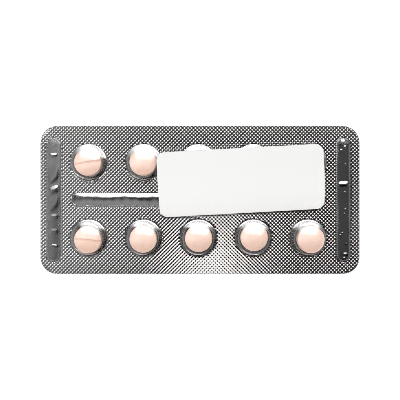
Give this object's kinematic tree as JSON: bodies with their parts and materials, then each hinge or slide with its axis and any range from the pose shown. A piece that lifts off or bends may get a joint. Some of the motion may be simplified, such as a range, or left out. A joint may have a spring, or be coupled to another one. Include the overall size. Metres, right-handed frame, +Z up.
{
  "type": "tablet blister pack",
  "caption": "Flat blister card with rounded corners: domed clear pockets in rows, each holding a round tablet, over knurled sealing foil, with a plain paper label stuck across one row.",
  "frame": {"origin": "middle of the foil's underside, where the card rests", "axes": "+X along the card's length, +Y across it towards the row under the label, +Z up through the pockets"},
  "size_m": [0.095, 0.044, 0.005],
  "materials": {
    "foil": "bright rolled foil, knurled where it is sealed",
    "clear_film": "clear glossy formed film",
    "paper_label": "matt white paper",
    "tablet_coat": "satin film coat, pale pink"
  },
  "bodies": {
    "root": {"lidding_foil": "foil", "blister_film": "clear_film", "label": "paper_label", "tablet_1": "tablet_coat", "tablet_2": "tablet_coat", "tablet_3": "tablet_coat", "tablet_4": "tablet_coat", "tablet_5": "tablet_coat", "tablet_6": "tablet_coat", "tablet_7": "tablet_coat", "tablet_8": "tablet_coat", "tablet_9": "tablet_coat", "tablet_10": "tablet_coat"}
  },
  "joints": []
}
